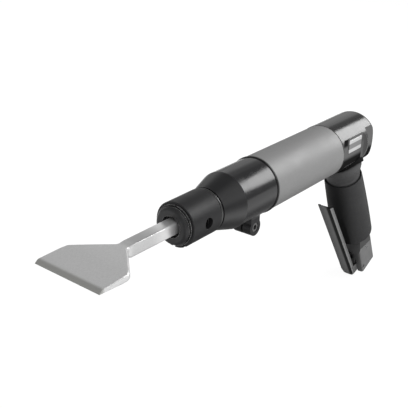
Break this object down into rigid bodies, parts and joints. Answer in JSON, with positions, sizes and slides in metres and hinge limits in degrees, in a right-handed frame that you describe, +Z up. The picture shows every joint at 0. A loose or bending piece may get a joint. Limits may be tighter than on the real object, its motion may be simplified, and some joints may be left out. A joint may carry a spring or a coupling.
{
  "type": "pneumatic chipping hammer",
  "caption": "Air-powered chipping hammer with a tilted pistol handle, squeeze lever throttle, vibration-damped floating cylinder and a wide flat chisel.",
  "frame": {"origin": "on the barrel axis at the front end of the grey sleeve, beside the dark seam ring; it is also the front end of the place where a round holder grips the sleeve", "axes": "+X along the barrel towards the chisel; +Y to the side with the name plate and the round hole in the nose; +Z up, away from the handle"},
  "size_m": [0.5524, 0.075, 0.2381],
  "materials": {
    "chisel_steel": "satin forged steel with a ground edge",
    "black_oxide": "satin black oxide",
    "bush_steel": "dark hardened steel",
    "buffer_rubber": "hard brown polyurethane",
    "spring_wire": "spring steel",
    "black_housing": "gloss black",
    "screw_steel": "zinc grey",
    "seam_black": "dark",
    "sleeve_grey": "matte bead-blasted",
    "inner_steel": "ground",
    "piston_steel": "ground and polished",
    "bronze": "machined bronze",
    "seal_rubber": "matte",
    "head_metal": "polished",
    "plate_metal": "bare satin",
    "gasket_rubber": "matte",
    "core_metal": "dark grey",
    "grip_rubber": "matte moulded",
    "base_metal": "machined, front face dark",
    "lever_paint": "grey coated sheet"
  },
  "bodies": {
    "frame": {"nose_cap": "black_oxide", "shank_bush": "bush_steel", "chisel_buffer": "buffer_rubber", "wire_ring": "spring_wire", "front_housing": "black_housing", "front_seat": "bush_steel", "clamp_screw": "screw_steel", "clamp_nut": "screw_steel", "seam_ring": "seam_black", "outer_sleeve": "sleeve_grey", "front_buffer": "buffer_rubber", "damping_spring": "spring_wire", "sleeve_seal": "seal_rubber", "rear_head": "head_metal", "name_plate": "plate_metal", "neck_gasket": "gasket_rubber", "handle_core": "core_metal", "grip_ring": "seal_rubber", "grip_sleeve": "grip_rubber", "base_gasket": "gasket_rubber", "base_block": "base_metal", "lever_pin": "screw_steel", "throttle_guide": "bronze", "throttle_seat": "bronze", "throttle_spring": "spring_wire", "throttle_plug": "screw_steel", "plug_seal": "seal_rubber", "air_inlet": "bronze", "inlet_strainer": "inner_steel"},
    "chisel": {"chisel": "chisel_steel"},
    "cylinder_group": {"impact_cylinder": "inner_steel", "cylinder_seal": "seal_rubber", "valve_box": "bronze", "valve_cap": "bronze", "valve_dowels": "inner_steel"},
    "piston": {"piston": "piston_steel"},
    "distributor_plate": {"valve_plate": "inner_steel"},
    "lever": {"lever": "lever_paint"},
    "throttle": {"throttle_valve": "inner_steel"}
  },
  "joints": [
    {"name": "lever_squeeze", "type": "hinge", "parent": "frame", "child": "lever", "pos_m": [-0.24999, 0, -0.19094], "axis": [0, -1, 0], "range_deg": [0, 7.5], "stiffness_Nm_per_rad": 3, "springref_deg": -11.46},
    {"name": "throttle_slide", "type": "slide", "parent": "frame", "child": "throttle", "axis": [-0.9107, 0, 0.4131], "range_m": [0, 0.0029], "deforming": ["throttle_spring"]},
    {"name": "cylinder_slide", "type": "slide", "parent": "frame", "child": "cylinder_group", "axis": [-1, 0, 0], "range_m": [0, 0.006], "stiffness_N_per_m": 12000, "springref_m": -0.004, "deforming": ["damping_spring"]},
    {"name": "piston_stroke", "type": "slide", "parent": "cylinder_group", "child": "piston", "axis": [-1, 0, 0], "range_m": [0, 0.06]},
    {"name": "plate_shift", "type": "slide", "parent": "cylinder_group", "child": "distributor_plate", "axis": [-1, 0, 0], "range_m": [0, 0.0022]},
    {"name": "chisel_slide", "type": "slide", "parent": "frame", "child": "chisel", "axis": [1, 0, 0], "range_m": [0, 0.012]}
  ],
  "couplings": [
    {"joint": "throttle_slide", "follows": "lever_squeeze", "m_per_rad": 0.021958}
  ]
}
